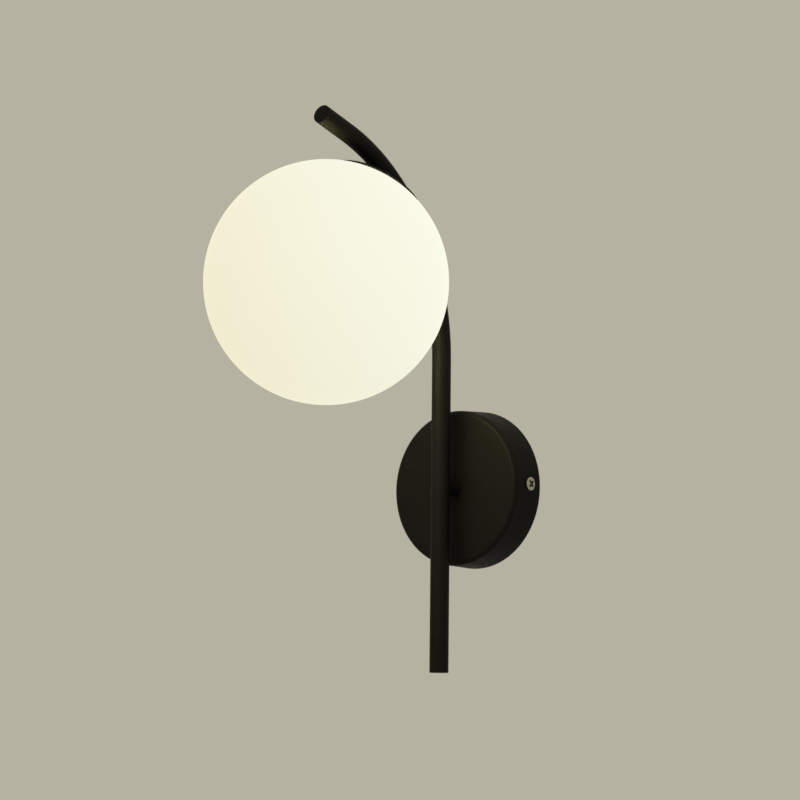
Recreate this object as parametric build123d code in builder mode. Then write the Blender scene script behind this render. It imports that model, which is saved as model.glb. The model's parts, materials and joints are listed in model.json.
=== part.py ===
from build123d import *
import os
from math import asin, cos, degrees, radians, sin, sqrt, tan

# Globe wall sconce: an opal glass globe hangs from a bent tube on a round wall cover.
# Frame: the origin is the centre of the cover on the wall, +X right along the wall,
# +Y into the wall, +Z up. The lamp stands out from the wall towards -Y. Millimetres.

# ---------------------------------------------------------------- driving sizes
# wall cover
cover_back_radius = 50.0
cover_taper = 1.0         # back radius less front radius
cover_depth = 24.0
cover_wall = 1.2
cover_edge_radius = 3.0

# arm tube
tube_radius = 6.0
tube_wall = 1.0
arm_reach = 37.8          # wall to the axis of the upright stretch
arm_bottom = -117.0       # lowest face of the arm
bend_start = 80.0         # height at which the bend starts
bend_radius = 140.0
bend_angle = 71.0
arm_tip_length = 26.0     # straight stretch after the bend
plug_head = 1.0
plug_length = 7.0

# globe
globe_radius = 75.0
glass_wall = 2.5
holder_angle = 54.0       # where along the bend the globe hangs
mouth_land = 3.7          # ground rim of the glass, from its bore outwards

# globe cap and what clamps it
cap_gap = 1.0             # glass to the inside of the cap
cap_wall = 1.2
cap_half_angle = 28.5
cap_flat_radius = 10.0
cup_radius = 26.0         # outside thread that the globe turns on
cup_wall = 1.6
cup_top_wall = 1.5
cup_corner = 3.0
cup_height = 14.3
ring_height = 11.2
ring_wall = 2.7
ring_flange_width = 2.0   # flange past the bore of the glass
ring_flange = 1.2
gasket_thickness = 1.0
gasket_width = 2.4

# hollow stubs, their nuts and washers
stub_radius = 5.5
stub_thread_radius = 4.0
stub_bore_radius = 2.9
holder_stub_length = 16.95    # cap to the axis of the tube
nut_flats = 13.0
nut_height = 3.0
nut_chamfer = 30.0
washer_radius = 7.5
washer_thickness = 1.0
thread_spare = 1.2        # thread that shows past the last nut

# lampholder, its bracket and its lamp
bracket_thickness = 1.0
bracket_width = 12.0
bracket_half_length = 14.0
bracket_drop = 8.8        # underside of the crossbar to the seat of the lampholder
foot_length = 7.0
holder_length = 25.0
holder_width = 15.0
holder_height = 18.0
holder_corner = 3.75
holder_screw_spacing = 18.0
pin_spacing = 9.0
pin_loop_width = 4.0
pin_wire = 0.8
pin_length = 14.0
pin_root = 3.0            # end of a pin inside the base of the lamp
pin_slot_spare = 1.5      # slot past the tip of a pin
pin_slot_play = 0.5
contact_thickness = 0.4
lamp_base_width = 16.0
lamp_base_depth = 11.0
lamp_base_height = 8.5
lamp_base_corner = 2.0
lamp_spigot_length = 3.0  # round end of the base inside its cover
lamp_cover_radius = 8.5
lamp_cover_length = 35.0
lamp_cover_wall = 1.0
lamp_board_width = 10.0
lamp_board_thickness = 1.0
lamp_board_root = 2.0     # end of the board inside the base
chip_width = 2.8
chip_height = 3.5
chip_thickness = 0.6
chip_columns = 2
chip_rows = 5
chip_column_pitch = 4.0
chip_row_pitch = 4.6

# wall bracket
strap_thickness = 1.5
strap_length = 84.0
strap_width = 20.0
slot_spacing = 60.0
slot_length = 16.0
slot_width = 4.5
tab_width = 12.0
tab_height = 14.0
tab_bend_radius = 2.0
side_screw_depth = 9.6    # wall to the axis of the side screws
side_screw_rise = 1.5     # side screws above the centre of the cover
lug_width = 31.0
lug_drop = 29.0

# earth point on the bracket
earth_x = -14.0
earth_z = 4.0
earth_ring_thickness = 0.8
earth_ring_neck = 0.5     # ring to its barrel
earth_barrel_radius = 1.6
earth_barrel_length = 5.0

# terminal block
pole_pitch = 9.5
block_width = 28.0
block_depth = 11.0
block_height = 14.0
block_corner = 1.0
block_top = -13.0
block_groove_width = 1.2
block_groove_depth = 1.5
insert_radius = 2.5
insert_bore = 1.6
insert_length = 12.0
clamp_screw_spacing = 6.4
clamp_slot_width = 0.5
clamp_slot_depth = 0.6

# screws
m4_radius = 2.0
m4_head_radius = 4.1
m4_head_height = 2.6
m3_radius = 1.5
m3_head_radius = 2.75
m3_head_height = 1.8
clamp_screw_radius = 1.25
fixing_head_radius = 2.2
side_head_radius = 4.2    # low raised head of the side screws
side_head_height = 1.2
side_screw_length = 8.0
head_rim = 0.25           # shares of a screw's head: straight rim and recess by its height,
recess_depth = 0.6        # length and width of the recess by its radius
recess_span = 1.1
recess_width = 0.28

# inner leads
lead_radius = 0.95
lead_offset = 1.15        # live and neutral each side of the arm's plane
lead_turn = 4.5
spread_turn = 2.85
earth_lead_turn = 3.15
lead_run_in = 5.0         # straight stretch behind the wall stub
lead_end_rise = 2.0       # end of a lead above the middle of its insert
lead_turn_rise = 1.0      # first turn of a lead above the terminal block
lead_in_barrel = 3.0

# ---------------------------------------------------------------- fits
joint_gap = 0.1           # brazed saddle of a stub on the tube
fit_gap = 0.05            # a screw in its hole, a plug in its tube
thread_gap = 0.1          # globe ring on the threaded cup
seat_gap = 0.3            # between pieces that move apart
bond_gap = 0.2            # adhesive between ring and glass
hole_gap = 0.1            # cover and cap holes round a stub's thread

# ---------------------------------------------------------------- derived places
ring_bore = cup_radius + thread_gap
mouth_radius = ring_bore + ring_wall + bond_gap
mouth_rim_radius = mouth_radius + mouth_land
mouth_height = sqrt(globe_radius**2 - mouth_rim_radius**2)     # globe centre to the ground rim
dome_inside = globe_radius + cap_gap
dome_outside = dome_inside + cap_wall
cap_flat = sqrt(dome_outside**2 - cap_flat_radius**2)
tube_height = cap_flat + holder_stub_length         # globe centre to tube axis, along the head
globe_offset = bend_radius - tube_height            # bend centre to globe centre
bend_centre_y = -arm_reach - bend_radius
hang = radians(holder_angle)
globe_centre = Vector(0, bend_centre_y + globe_offset * cos(hang), bend_start + globe_offset * sin(hang))
head_direction = Vector(0, cos(hang), sin(hang))
head_axis = Axis(globe_centre, head_direction)
head_section = Plane(origin=globe_centre, x_dir=(1, 0, 0), z_dir=(0, -sin(hang), cos(hang)))
wall_axis = Axis((0, 0, 0), (0, -1, 0))
wall_section = Plane(origin=(0, 0, 0), x_dir=(1, 0, 0), z_dir=(0, 0, -1))
bend_axis = Axis((0, bend_centre_y, bend_start), (1, 0, 0))

cap_flat_inside = cap_flat - cap_wall
cap_nut_top = cap_flat_inside - washer_thickness
cup_top = cap_nut_top - nut_height
cup_bottom = cup_top - cup_height
bracket_top = cup_top - cup_top_wall
second_nut_top = bracket_top - bracket_thickness
head_thread_end = second_nut_top - nut_height - thread_spare
holder_seat = second_nut_top - bracket_drop
holder_face = holder_seat - holder_height
ring_top = mouth_height + ring_flange
ring_bottom = ring_top - ring_height
ring_flange_radius = mouth_radius + ring_flange_width
gasket_bottom = ring_top + seat_gap
wall_nut_back = cover_depth - cover_wall - washer_thickness - nut_height
wall_thread_end = wall_nut_back - thread_spare
block_front = strap_thickness + block_depth
insert_depth = strap_thickness + block_depth / 2
block_centre = block_top - block_height / 2
cover_front_radius = cover_back_radius - cover_taper
cover_slope = cover_taper / cover_depth
cover_radius_at_screw = cover_back_radius - cover_slope * (side_screw_depth - side_head_radius)
cover_radius_at_tab = cover_back_radius - cover_slope * tab_height


def head_plane(height, side=1):
    """Plane square to the head's axis, height from the globe's centre; side -1 looks into the globe."""
    return Plane(origin=globe_centre + head_direction * height, x_dir=(1, 0, 0), z_dir=head_direction * side)


def head_point(x, height):
    """Point in the head's own coordinates, x across and height along its axis."""
    return globe_centre + head_direction * height + Vector(x, 0, 0)


def wall_plane(depth, side=1):
    """Plane parallel to the wall, depth in front of it; side 1 faces the room, -1 the wall."""
    return Plane(origin=(0, -depth, 0), x_dir=(1, 0, 0), z_dir=(0, -side, 0))


def bend_point(x, distance, angle):
    """Point in the arm's plane at a distance and angle from the bend's centre."""
    turn = radians(angle)
    return Vector(x, bend_centre_y + distance * cos(turn), bend_start + distance * sin(turn))


def on_sphere(radius, angle):
    """Point of a circle about the globe's centre, as radius from and height along the head's axis."""
    return (radius * sin(radians(angle)), radius * cos(radians(angle)))


def arm_line(end_trim=0.0):
    """Centre line of the arm: upright, bend and straight tip, in the wire that is being built."""
    tip_tangent = Vector(0, -sin(radians(bend_angle)), cos(radians(bend_angle)))
    foot = Vector(0, -arm_reach, arm_bottom + end_trim)
    elbow = bend_point(0, bend_radius, 0)
    shoulder = bend_point(0, bend_radius, bend_angle)
    Line(foot, elbow)
    ThreePointArc(elbow, bend_point(0, bend_radius, bend_angle / 2), shoulder)
    Line(shoulder, shoulder + tip_tangent * (arm_tip_length - end_trim))


def hollow_stub(face, thread_end, far, section):
    """Half profile of a turned stub: body from its shoulder outwards, thinner thread inwards, bored through."""
    with BuildSketch(section) as profile:
        with BuildLine():
            Polyline(
                (stub_bore_radius, thread_end),
                (stub_thread_radius, thread_end),
                (stub_thread_radius, face),
                (stub_radius, face),
                (stub_radius, far),
                (stub_bore_radius, far),
                close=True,
            )
        make_face()
    return profile.sketch


# ---------------------------------------------------------------- wall bracket
tab_reach = tab_width / 2 + side_screw_rise
tab_outer = sqrt((cover_radius_at_tab - cover_wall - seat_gap) ** 2 - tab_reach**2)

with BuildPart() as wall_bracket:
    with BuildSketch(wall_plane(0)):
        RectangleRounded(strap_length, strap_width, strap_width / 5)
        with Locations((0, -lug_drop / 2)):
            RectangleRounded(lug_width, lug_drop, strap_thickness)
    extrude(amount=strap_thickness)
    with BuildSketch(Plane.XY.offset(side_screw_rise - tab_width / 2)):
        with BuildLine():
            FilletPolyline(
                (-tab_outer, -tab_height),
                (-tab_outer, 0),
                (tab_outer, 0),
                (tab_outer, -tab_height),
                radius=tab_bend_radius + strap_thickness,
            )
            offset(amount=strap_thickness, side=Side.RIGHT)
        make_face()
    extrude(amount=tab_width)
    with BuildSketch(wall_plane(0)):
        with GridLocations(slot_spacing, 0, 2, 1):
            SlotOverall(slot_length, slot_width)
    extrude(amount=strap_thickness, mode=Mode.SUBTRACT)
    with BuildSketch(wall_plane(0)):
        with Locations((earth_x, earth_z)):
            Circle(m4_radius + fit_gap)
        with Locations((pole_pitch / 2, block_centre)):
            Circle(m3_radius + fit_gap)
    extrude(amount=strap_thickness, mode=Mode.SUBTRACT)
    with BuildSketch(Plane.YZ):
        with Locations((-side_screw_depth, side_screw_rise)):
            Circle(m4_radius + fit_gap)
    extrude(amount=cover_back_radius, both=True, mode=Mode.SUBTRACT)
wall_bracket.part.label = "wall_bracket"

# ---------------------------------------------------------------- wall cover
with BuildPart() as canopy_cover:
    with BuildSketch(wall_section):
        with BuildLine():
            Polyline(
                (0, 0),
                (cover_back_radius, 0),
                (cover_front_radius, cover_depth),
                (0, cover_depth),
                close=True,
            )
        make_face()
    revolve(axis=wall_axis)
    fillet(canopy_cover.edges().group_by(Axis.Y)[0], cover_edge_radius)
    offset(amount=-cover_wall, openings=canopy_cover.faces().sort_by(Axis.Y)[-1])
    with BuildSketch(wall_plane(cover_depth, -1)):
        Circle(stub_thread_radius + hole_gap)
    extrude(amount=2 * cover_wall, mode=Mode.SUBTRACT)
    with BuildSketch(Plane.YZ):
        with Locations((-side_screw_depth, side_screw_rise)):
            Circle(m4_radius + hole_gap)
    extrude(amount=cover_back_radius, both=True, mode=Mode.SUBTRACT)
canopy_cover.part.label = "canopy_cover"


def domed_screw(plane, shank_radius, shank_length, head_radius, head_height):
    """Screw with a domed head and a cross recess: the head stands on the plane, the shank goes below it."""
    rim = head_height * head_rim
    rise = head_height - rim
    crown_radius = (head_radius**2 + rise**2) / (2 * rise)
    crown_middle = (head_radius / 2, head_height - crown_radius + sqrt(crown_radius**2 - head_radius**2 / 4))
    section = Plane(origin=plane.origin, x_dir=plane.x_dir, z_dir=plane.x_dir.cross(plane.z_dir))
    with BuildPart() as screw:
        with BuildSketch(section):
            with BuildLine():
                Polyline((0, head_height), (0, 0), (head_radius, 0), (head_radius, rim))
                ThreePointArc((head_radius, rim), crown_middle, (0, head_height))
            make_face()
        revolve(axis=Axis(plane.origin, plane.z_dir))
        with BuildSketch(plane.offset(head_height)):
            Rectangle(head_radius * recess_span, head_radius * recess_width)
            Rectangle(head_radius * recess_width, head_radius * recess_span)
        extrude(amount=-head_height * recess_depth, mode=Mode.SUBTRACT)
        with BuildSketch(plane):
            Circle(shank_radius)
        extrude(amount=-shank_length)
    return screw.part


# two side screws, heads on the cover's rim
screw_seat = cover_radius_at_screw
right_seat = Plane(origin=(screw_seat, -side_screw_depth, side_screw_rise), x_dir=(0, 1, 0), z_dir=(1, 0, 0))
left_seat = Plane(origin=(-screw_seat, -side_screw_depth, side_screw_rise), x_dir=(0, 1, 0), z_dir=(-1, 0, 0))
with BuildPart() as side_screws:
    add(domed_screw(right_seat, m4_radius, side_screw_length, side_head_radius, side_head_height))
    add(domed_screw(left_seat, m4_radius, side_screw_length, side_head_radius, side_head_height))
side_screws.part.label = "side_screws"

# ---------------------------------------------------------------- earth point
earth_ring_top = strap_thickness + earth_ring_thickness
earth_plane = Plane(origin=(earth_x, -earth_ring_top, earth_z), x_dir=(1, 0, 0), z_dir=(0, -1, 0))
with BuildPart() as earth_screw:
    add(domed_screw(earth_plane, m4_radius, earth_ring_top, m4_head_radius, m4_head_height))
earth_screw.part.label = "earth_screw"

barrel_start = earth_x + m4_head_radius + earth_ring_neck
barrel_end = barrel_start + earth_barrel_length
barrel_y = -strap_thickness - earth_barrel_radius
barrel_plane = Plane(origin=(barrel_start, barrel_y, earth_z), x_dir=(0, 1, 0), z_dir=(1, 0, 0))
tongue_length = m4_head_radius + 2 * earth_ring_neck
with BuildPart() as earth_ring:
    with BuildSketch(wall_plane(strap_thickness)):
        with Locations((earth_x, earth_z)):
            Circle(m4_head_radius)
        with Locations((earth_x + tongue_length / 2, earth_z)):
            Rectangle(tongue_length, 2 * earth_barrel_radius)
        with Locations((earth_x, earth_z)):
            Circle(m4_radius + hole_gap, mode=Mode.SUBTRACT)
    extrude(amount=earth_ring_thickness)
    with BuildSketch(barrel_plane):
        Circle(earth_barrel_radius)
    extrude(amount=earth_barrel_length)
    with BuildSketch(barrel_plane):
        Circle(lead_radius + fit_gap)
    extrude(amount=earth_barrel_length, mode=Mode.SUBTRACT)
earth_ring.part.label = "earth_ring"

# ---------------------------------------------------------------- terminal block
pole_places = [(-pole_pitch, 0), (0, 0), (pole_pitch, 0)]
block_plane = Plane(origin=(0, -insert_depth, block_centre), x_dir=(1, 0, 0), z_dir=(0, 0, 1))
block_face = Plane(origin=(0, -block_front, block_centre), x_dir=(1, 0, 0), z_dir=(0, -1, 0))
with BuildPart() as terminal_block:
    with BuildSketch(block_plane):
        RectangleRounded(block_width, block_depth, block_corner)
    extrude(amount=block_height / 2, both=True)
    with BuildSketch(block_plane):
        with Locations(*pole_places):
            Circle(insert_radius + fit_gap)
    extrude(amount=insert_length / 2, both=True, mode=Mode.SUBTRACT)
    with BuildSketch(block_plane):
        with Locations(*pole_places):
            Circle(insert_bore + hole_gap)
    extrude(amount=block_height / 2, both=True, mode=Mode.SUBTRACT)
    with BuildSketch(block_face):
        with GridLocations(pole_pitch, clamp_screw_spacing, 3, 2):
            Circle(insert_bore + hole_gap)
    extrude(amount=-block_depth / 2, mode=Mode.SUBTRACT)
    with BuildSketch(block_face):
        with Locations((pole_pitch / 2, 0)):
            Circle(m3_radius + fit_gap)
    extrude(amount=-block_depth, mode=Mode.SUBTRACT)
    with BuildSketch(block_face):
        with GridLocations(pole_pitch, 0, 2, 1):
            Rectangle(block_groove_width, block_height)
    extrude(amount=-block_groove_depth, mode=Mode.SUBTRACT)
terminal_block.part.label = "terminal_block"

with BuildPart() as terminal_inserts:
    with BuildSketch(block_plane):
        with Locations(*pole_places):
            Circle(insert_radius)
            Circle(insert_bore, mode=Mode.SUBTRACT)
    extrude(amount=insert_length / 2, both=True)
    with BuildSketch(block_face):
        with GridLocations(pole_pitch, clamp_screw_spacing, 3, 2):
            Circle(clamp_screw_radius + fit_gap)
    extrude(amount=-block_depth / 2, mode=Mode.SUBTRACT)
terminal_inserts.part.label = "terminal_inserts"

clamp_screw_length = block_depth / 2 - lead_radius - hole_gap
with BuildPart() as terminal_screws:
    with BuildSketch(block_face):
        with GridLocations(pole_pitch, clamp_screw_spacing, 3, 2):
            Circle(clamp_screw_radius)
    extrude(amount=-clamp_screw_length)
    with BuildSketch(block_face):
        with GridLocations(pole_pitch, clamp_screw_spacing, 3, 2):
            Rectangle(2 * clamp_screw_radius, clamp_slot_width)
    extrude(amount=-clamp_slot_depth, mode=Mode.SUBTRACT)
terminal_screws.part.label = "terminal_screws"

fixing_plane = Plane(
    origin=(pole_pitch / 2, -block_front, block_centre), x_dir=(1, 0, 0), z_dir=(0, -1, 0)
)
with BuildPart() as terminal_fixing_screw:
    add(domed_screw(fixing_plane, m3_radius, block_front, fixing_head_radius, m3_head_height))
terminal_fixing_screw.part.label = "terminal_fixing_screw"

# ---------------------------------------------------------------- arm
with BuildPart() as arm_tube:
    with BuildLine() as arm_path:
        arm_line(plug_head)
    with BuildSketch(Plane(origin=arm_path.line @ 0, z_dir=arm_path.line % 0)):
        Circle(tube_radius)
        Circle(tube_radius - tube_wall, mode=Mode.SUBTRACT)
    sweep()
    with BuildSketch(wall_plane(arm_reach, -1)):
        Circle(stub_bore_radius)
    extrude(amount=2 * tube_radius, mode=Mode.SUBTRACT)
    with BuildSketch(head_plane(tube_height, -1)):
        Circle(stub_bore_radius)
    extrude(amount=2 * tube_radius, mode=Mode.SUBTRACT)
arm_tube.part.label = "arm_tube"

foot_plane = Plane(arm_path.line @ 0, z_dir=(arm_path.line % 0) * -1)
tip_plane = Plane(arm_path.line @ 1, z_dir=arm_path.line % 1)


def end_plug(plane):
    """Push-in plug: a head as wide as the tube, flush with its outside, and a spigot in its bore."""
    with BuildPart() as plug:
        with BuildSketch(plane):
            Circle(tube_radius)
        extrude(amount=plug_head)
        fillet(plug.edges().group_by(Axis(plane.origin, plane.z_dir))[-1], plug_head * 0.4)
        with BuildSketch(plane):
            Circle(tube_radius - tube_wall - fit_gap)
        extrude(amount=-(plug_length - plug_head))
    return plug.part


with BuildPart() as lower_end_plug:
    add(end_plug(foot_plane))
lower_end_plug.part.label = "lower_end_plug"

with BuildPart() as upper_end_plug:
    add(end_plug(tip_plane))
upper_end_plug.part.label = "upper_end_plug"

# ---------------------------------------------------------------- stubs, each with a saddle cut to the tube
with BuildPart() as wall_stub:
    revolve(hollow_stub(cover_depth, wall_thread_end, arm_reach, wall_section), axis=wall_axis)
    with BuildSketch(Plane.XY):
        with Locations((0, -arm_reach)):
            Circle(tube_radius + joint_gap)
    extrude(amount=2 * stub_radius, both=True, mode=Mode.SUBTRACT)
wall_stub.part.label = "wall_stub"

saddle_sweep = degrees(4 * stub_radius / bend_radius)
with BuildPart() as holder_stub:
    revolve(hollow_stub(cap_flat, head_thread_end, tube_height, head_section), axis=head_axis)
    with BuildSketch(Plane(
        origin=bend_point(0, bend_radius, holder_angle - saddle_sweep / 2),
        x_dir=(1, 0, 0),
        z_dir=(0, -sin(hang - radians(saddle_sweep / 2)), cos(hang - radians(saddle_sweep / 2))),
    )):
        Circle(tube_radius + joint_gap)
    revolve(axis=bend_axis, revolution_arc=saddle_sweep, mode=Mode.SUBTRACT)
holder_stub.part.label = "holder_stub"


def washer(plane):
    """Flat washer that lies on the plane."""
    with BuildPart() as disc:
        with BuildSketch(plane):
            Circle(washer_radius)
            Circle(stub_thread_radius + hole_gap, mode=Mode.SUBTRACT)
        extrude(amount=washer_thickness)
    return disc.part


def hex_nut(plane):
    """Flat hexagon nut that lies on the plane, chamfered on its free face."""
    with BuildPart() as nut:
        with BuildSketch(plane):
            RegularPolygon(radius=nut_flats / 2, side_count=6, major_radius=False)
        extrude(amount=nut_height)
        with BuildSketch(plane):
            Circle(nut_flats / 2 + nut_height / tan(radians(nut_chamfer)))
        with BuildSketch(plane.offset(nut_height)):
            Circle(nut_flats / 2)
        loft(mode=Mode.INTERSECT)
        with BuildSketch(plane):
            Circle(stub_thread_radius + fit_gap)
        extrude(amount=nut_height, mode=Mode.SUBTRACT)
    return nut.part


with BuildPart() as wall_stub_washer:
    add(washer(wall_plane(cover_depth - cover_wall, -1)))
wall_stub_washer.part.label = "wall_stub_washer"

with BuildPart() as wall_stub_nut:
    add(hex_nut(wall_plane(cover_depth - cover_wall - washer_thickness, -1)))
wall_stub_nut.part.label = "wall_stub_nut"

with BuildPart() as cap_washer:
    add(washer(head_plane(cap_flat_inside, -1)))
cap_washer.part.label = "cap_washer"

with BuildPart() as cap_nut:
    add(hex_nut(head_plane(cap_nut_top, -1)))
cap_nut.part.label = "cap_nut"

with BuildPart() as lampholder_nut:
    add(hex_nut(head_plane(second_nut_top, -1)))
lampholder_nut.part.label = "lampholder_nut"

# ---------------------------------------------------------------- globe cap
inside_flat_radius = sqrt(dome_inside**2 - cap_flat_inside**2)
flat_angle = degrees(asin(cap_flat_radius / dome_outside))
inside_flat_angle = degrees(asin(inside_flat_radius / dome_inside))
lip_bulge = degrees(cap_wall * 0.4 / dome_inside)
with BuildPart() as globe_cap:
    with BuildSketch(head_section):
        with BuildLine():
            Line((stub_thread_radius + hole_gap, cap_flat), (cap_flat_radius, cap_flat))
            ThreePointArc(
                (cap_flat_radius, cap_flat),
                on_sphere(dome_outside, (flat_angle + cap_half_angle) / 2),
                on_sphere(dome_outside, cap_half_angle),
            )
            ThreePointArc(
                on_sphere(dome_outside, cap_half_angle),
                on_sphere(dome_inside + cap_wall / 2, cap_half_angle + lip_bulge),
                on_sphere(dome_inside, cap_half_angle),
            )
            ThreePointArc(
                on_sphere(dome_inside, cap_half_angle),
                on_sphere(dome_inside, (inside_flat_angle + cap_half_angle) / 2),
                (inside_flat_radius, cap_flat_inside),
            )
            Line((inside_flat_radius, cap_flat_inside), (stub_thread_radius + hole_gap, cap_flat_inside))
            Line((stub_thread_radius + hole_gap, cap_flat_inside), (stub_thread_radius + hole_gap, cap_flat))
        make_face()
    revolve(axis=head_axis)
globe_cap.part.label = "globe_cap"

# ---------------------------------------------------------------- threaded cup
with BuildPart() as threaded_cup:
    with BuildSketch(head_section):
        with BuildLine():
            FilletPolyline(
                (stub_thread_radius + hole_gap, cup_top - cup_top_wall),
                (cup_radius - cup_wall, cup_top - cup_top_wall),
                (cup_radius - cup_wall, cup_bottom),
                radius=cup_corner - cup_wall,
            )
            Line((cup_radius - cup_wall, cup_bottom), (cup_radius, cup_bottom))
            FilletPolyline(
                (cup_radius, cup_bottom),
                (cup_radius, cup_top),
                (stub_thread_radius + hole_gap, cup_top),
                radius=cup_corner,
            )
            Line(
                (stub_thread_radius + hole_gap, cup_top),
                (stub_thread_radius + hole_gap, cup_top - cup_top_wall),
            )
        make_face()
    revolve(axis=head_axis)
threaded_cup.part.label = "threaded_cup"

# ---------------------------------------------------------------- lampholder bracket
bar_level = bracket_top
leg_x = bracket_half_length
with BuildPart() as lampholder_bracket:
    with BuildSketch(head_section):
        with BuildLine():
            FilletPolyline(
                (-leg_x + foot_length, holder_seat),
                (-leg_x, holder_seat),
                (-leg_x, bar_level),
                (leg_x, bar_level),
                (leg_x, holder_seat),
                (leg_x - foot_length, holder_seat),
                radius=2 * bracket_thickness,
            )
            offset(amount=bracket_thickness, side=Side.RIGHT)
        make_face()
    extrude(amount=bracket_width / 2, both=True)
    with BuildSketch(head_plane(bar_level, -1)):
        Circle(stub_thread_radius + hole_gap)
    extrude(amount=2 * bracket_thickness, mode=Mode.SUBTRACT)
    with BuildSketch(head_plane(holder_seat)):
        with GridLocations(holder_screw_spacing, 0, 2, 1):
            Circle(m3_radius + fit_gap)
    extrude(amount=2 * bracket_thickness, mode=Mode.SUBTRACT)
lampholder_bracket.part.label = "lampholder_bracket"

# ---------------------------------------------------------------- lampholder
pin_slot_depth = pin_length + pin_slot_spare
pin_slot_width = pin_wire + 2 * contact_thickness + 2 * hole_gap
with BuildPart() as lampholder_body:
    with BuildSketch(head_plane(holder_seat, -1)):
        RectangleRounded(holder_length, holder_width, holder_corner)
    extrude(amount=holder_height)
    with BuildSketch(head_plane(holder_face)):
        with GridLocations(pin_spacing, 0, 2, 1):
            Rectangle(pin_slot_width, pin_loop_width + pin_slot_play)
    extrude(amount=pin_slot_depth, mode=Mode.SUBTRACT)
    with BuildSketch(head_plane(holder_seat, -1)):
        with GridLocations(pin_spacing, 0, 2, 1):
            Circle(lead_radius + hole_gap)
    extrude(amount=holder_height - pin_slot_depth, mode=Mode.SUBTRACT)
    with BuildSketch(head_plane(holder_face)):
        with GridLocations(holder_screw_spacing, 0, 2, 1):
            Circle(m3_radius + hole_gap)
    extrude(amount=holder_height, mode=Mode.SUBTRACT)
    with BuildSketch(head_plane(holder_face)):
        with GridLocations(holder_screw_spacing, 0, 2, 1):
            Circle(m3_head_radius + hole_gap)
    extrude(amount=m3_head_height + seat_gap, mode=Mode.SUBTRACT)
lampholder_body.part.label = "lampholder_body"

with BuildPart() as lampholder_screws:
    for side in (-1, 1):
        seat = head_plane(holder_face + m3_head_height + seat_gap, -1)
        shift = Vector(side * holder_screw_spacing / 2, 0, 0)
        seat_here = Plane(origin=seat.origin + shift, x_dir=seat.x_dir, z_dir=seat.z_dir)
        shank = holder_height - m3_head_height - seat_gap + bracket_thickness
        add(domed_screw(seat_here, m3_radius, shank, m3_head_radius, m3_head_height))
lampholder_screws.part.label = "lampholder_screws"

contact_bottom = holder_face + pin_slot_play
contact_length = pin_length - pin_slot_play
leaf_x = pin_wire / 2 + hole_gap + contact_thickness / 2
with BuildPart() as lampholder_contacts:
    with BuildSketch(head_plane(contact_bottom + contact_length)):
        with GridLocations(pin_spacing, 0, 2, 1):
            Rectangle(pin_slot_width, pin_loop_width)
    extrude(amount=contact_thickness)
    with BuildSketch(head_plane(contact_bottom)):
        with GridLocations(pin_spacing, 0, 2, 1):
            with Locations((-leaf_x, 0), (leaf_x, 0)):
                Rectangle(contact_thickness, pin_loop_width)
    extrude(amount=contact_length)
lampholder_contacts.part.label = "lampholder_contacts"

# ---------------------------------------------------------------- lamp
lamp_top = holder_face - seat_gap
cover_top = lamp_top - lamp_base_height
cover_tip = cover_top - lamp_cover_length
spigot_end = cover_top - lamp_spigot_length
with BuildPart() as bulb_base:
    with BuildSketch(head_plane(lamp_top, -1)):
        RectangleRounded(lamp_base_width, lamp_base_depth, lamp_base_corner)
    extrude(amount=lamp_base_height)
    with BuildSketch(head_plane(cover_top, -1)):
        Circle(lamp_cover_radius - lamp_cover_wall - fit_gap)
    extrude(amount=lamp_spigot_length)
    with BuildSketch(head_plane(lamp_top, -1)):
        with GridLocations(pin_spacing, 0, 2, 1):
            Rectangle(pin_wire + 2 * fit_gap, pin_loop_width + 2 * fit_gap)
    extrude(amount=pin_root, mode=Mode.SUBTRACT)
    with BuildSketch(head_plane(spigot_end)):
        Rectangle(lamp_board_width + 2 * fit_gap, lamp_board_thickness + 2 * fit_gap)
    extrude(amount=lamp_board_root, mode=Mode.SUBTRACT)
bulb_base.part.label = "bulb_base"

with BuildPart() as bulb_cover:
    with BuildSketch(head_section):
        with BuildLine():
            Polyline(
                (0, cover_tip + lamp_cover_wall),
                (0, cover_tip),
            )
            ThreePointArc(
                (0, cover_tip),
                (lamp_cover_radius * sin(radians(45)), cover_tip + lamp_cover_radius * (1 - cos(radians(45)))),
                (lamp_cover_radius, cover_tip + lamp_cover_radius),
            )
            Polyline(
                (lamp_cover_radius, cover_tip + lamp_cover_radius),
                (lamp_cover_radius, cover_top),
                (lamp_cover_radius - lamp_cover_wall, cover_top),
                (lamp_cover_radius - lamp_cover_wall, cover_tip + lamp_cover_radius),
            )
            inner = lamp_cover_radius - lamp_cover_wall
            ThreePointArc(
                (inner, cover_tip + lamp_cover_radius),
                (inner * sin(radians(45)), cover_tip + lamp_cover_radius - inner * cos(radians(45))),
                (0, cover_tip + lamp_cover_wall),
            )
        make_face()
    revolve(axis=head_axis)
bulb_cover.part.label = "bulb_cover"

board_top = spigot_end + lamp_board_root
board_end = cover_tip + lamp_cover_radius
chips_middle = (spigot_end + board_end) / 2
with BuildPart() as bulb_board:
    with BuildSketch(head_plane(board_top, -1)):
        Rectangle(lamp_board_width, lamp_board_thickness)
    extrude(amount=board_top - board_end)
    with BuildSketch(Plane(origin=head_point(0, chips_middle), x_dir=(1, 0, 0), z_dir=head_section.z_dir)):
        with GridLocations(chip_column_pitch, chip_row_pitch, chip_columns, chip_rows):
            Rectangle(chip_width, chip_height)
    extrude(amount=lamp_board_thickness / 2 + chip_thickness, both=True)
bulb_board.part.label = "bulb_board"

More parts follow.
